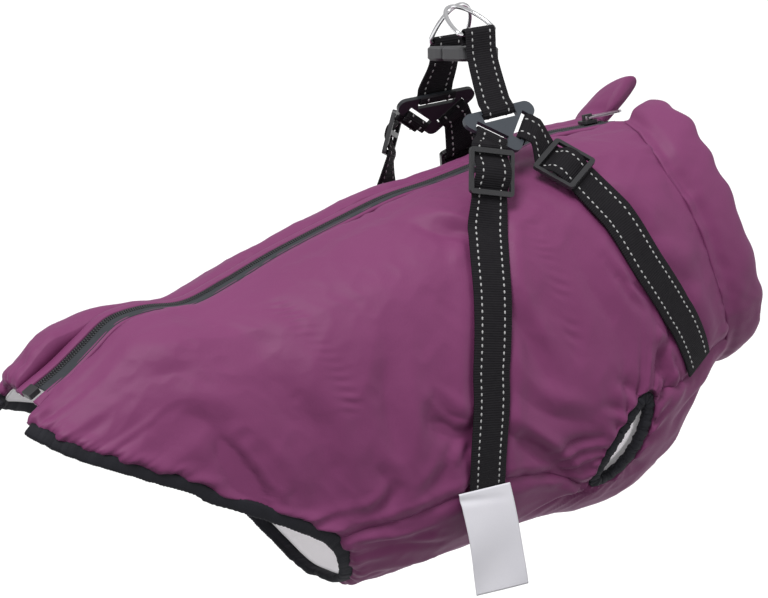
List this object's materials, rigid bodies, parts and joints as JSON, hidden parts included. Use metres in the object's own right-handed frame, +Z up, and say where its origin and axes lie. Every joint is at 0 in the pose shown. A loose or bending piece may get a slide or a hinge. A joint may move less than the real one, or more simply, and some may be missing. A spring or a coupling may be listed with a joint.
{
  "type": "dog winter coat with built-in harness",
  "caption": "Padded coat for a small dog with a zip along the back, lining, elastic hem and leg holes, and a sewn-on webbing harness that joins in a side-release buckle under crossed D-rings.",
  "frame": {"origin": "the point where the two D-rings cross, from which the coat hangs", "axes": "+X towards the neck, +Y towards the dog's left side, +Z up; the coat hangs nose-up by 16 degrees"},
  "size_m": [0.5138, 0.1912, 0.3585],
  "materials": {
    "shell": "smooth woven polyester with a soft sheen",
    "lining": "matte light grey",
    "elastic": "matte folded elastic tape",
    "webbing": "matte ribbed webbing",
    "zip_cloth": "matte zip tape and coil",
    "plate_plastic": "satin moulded",
    "slider_plastic": "satin moulded",
    "buckle_plastic": "satin moulded",
    "ring_metal": "polished plating on steel wire",
    "pull_metal": "satin plated tab",
    "label": "bare satin ribbon"
  },
  "bodies": {
    "coat": {"side_panel_right": "shell", "lining_right": "lining", "armhole_binding_right": "elastic", "zip_tape_right": "zip_cloth", "zip_facing_right": "shell", "tri_plate_right": "plate_plastic", "girth_slider_right": "slider_plastic", "chest_slider_right": "slider_plastic", "girth_strap_right": "webbing", "chest_strap_right": "webbing", "back_strap_right": "webbing", "side_panel_left": "shell", "lining_left": "lining", "armhole_binding_left": "elastic", "zip_tape_left": "zip_cloth", "zip_facing_left": "shell", "tri_plate_left": "plate_plastic", "girth_slider_left": "slider_plastic", "chest_slider_left": "slider_plastic", "girth_strap_left": "webbing", "chest_strap_left": "webbing", "back_strap_left": "webbing", "belly_panel": "shell", "lining_belly": "lining", "hem_binding": "elastic", "collar": "shell", "zip_chain": "zip_cloth", "zip_slider": "slider_plastic", "zip_box": "slider_plastic", "buckle_right": "buckle_plastic", "buckle_left": "buckle_plastic", "care_label": "label"},
    "ring_right": {"d_ring_right": "ring_metal"},
    "ring_left": {"d_ring_left": "ring_metal"},
    "zip_pull": {"zip_pull": "pull_metal"}
  },
  "joints": [
    {"name": "ring_right_swing", "type": "hinge", "parent": "coat", "child": "ring_right", "pos_m": [0.001, -0.02, -0.018], "axis": [0.9746, 0.2001, 0.1001], "range_deg": [0, 110]},
    {"name": "ring_left_swing", "type": "hinge", "parent": "coat", "child": "ring_left", "pos_m": [0.004, 0.022, -0.024], "axis": [0.9746, 0.2001, 0.1001], "range_deg": [-110, 0]},
    {"name": "pull_lift", "type": "hinge", "parent": "coat", "child": "zip_pull", "pos_m": [0.09577, 0, -0.07398], "axis": [0, 1, 0], "range_deg": [-150, 0]}
  ]
}
